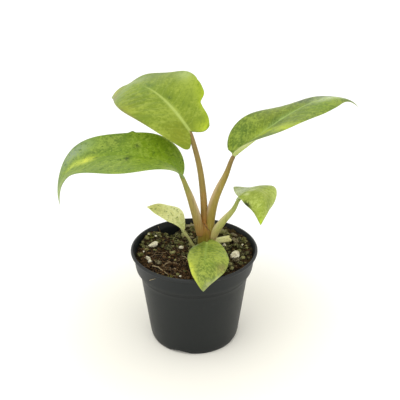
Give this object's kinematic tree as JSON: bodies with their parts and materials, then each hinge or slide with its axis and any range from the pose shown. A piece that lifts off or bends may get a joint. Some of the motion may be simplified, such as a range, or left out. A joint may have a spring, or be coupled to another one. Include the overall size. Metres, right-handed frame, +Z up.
{
  "type": "young potted philodendron",
  "caption": "Young philodendron with mottled pointed leaves on slim stalks, rooted in soil with perlite in a small round plastic nursery pot with a stepped rim.",
  "frame": {"origin": "the middle of the whole plant's outline, on the surface that the pot stands on", "axes": "+X to the right in the picture, where the longest leaf points; +Y away from the camera; +Z up along the pot's axis"},
  "size_m": [0.1444, 0.089, 0.124],
  "materials": {
    "pot": "satin dark grey moulded polypropylene with fine scuffs",
    "soil": "damp crumbly bark and coir mix with green algae",
    "perlite": "matt, foamed, slightly stained",
    "crown": "dry papery sheaths over a green stem",
    "stub": "drying, fibrous, cream and yellow",
    "petiole": "smooth waxy, olive to red-brown",
    "pale_petiole": "smooth waxy, pale green",
    "blade": "waxy green with yellow-green marbling and a pale midrib",
    "pale_blade": "waxy cream and yellow-green with dark green flecks"
  },
  "bodies": {
    "root": {"pot": "pot", "soil": "soil", "perlite_1": "perlite", "perlite_2": "perlite", "perlite_3": "perlite", "perlite_4": "perlite", "perlite_5": "perlite", "perlite_6": "perlite", "crown": "crown", "old_leaf_stub": "stub", "petiole_top": "petiole", "petiole_left": "petiole", "petiole_right": "petiole", "petiole_small_right": "pale_petiole", "petiole_small_left": "pale_petiole", "petiole_front": "pale_petiole", "blade_left": "blade", "blade_top": "blade", "blade_right": "blade", "blade_small_right": "pale_blade", "blade_small_left": "pale_blade", "blade_front": "blade"}
  },
  "joints": []
}
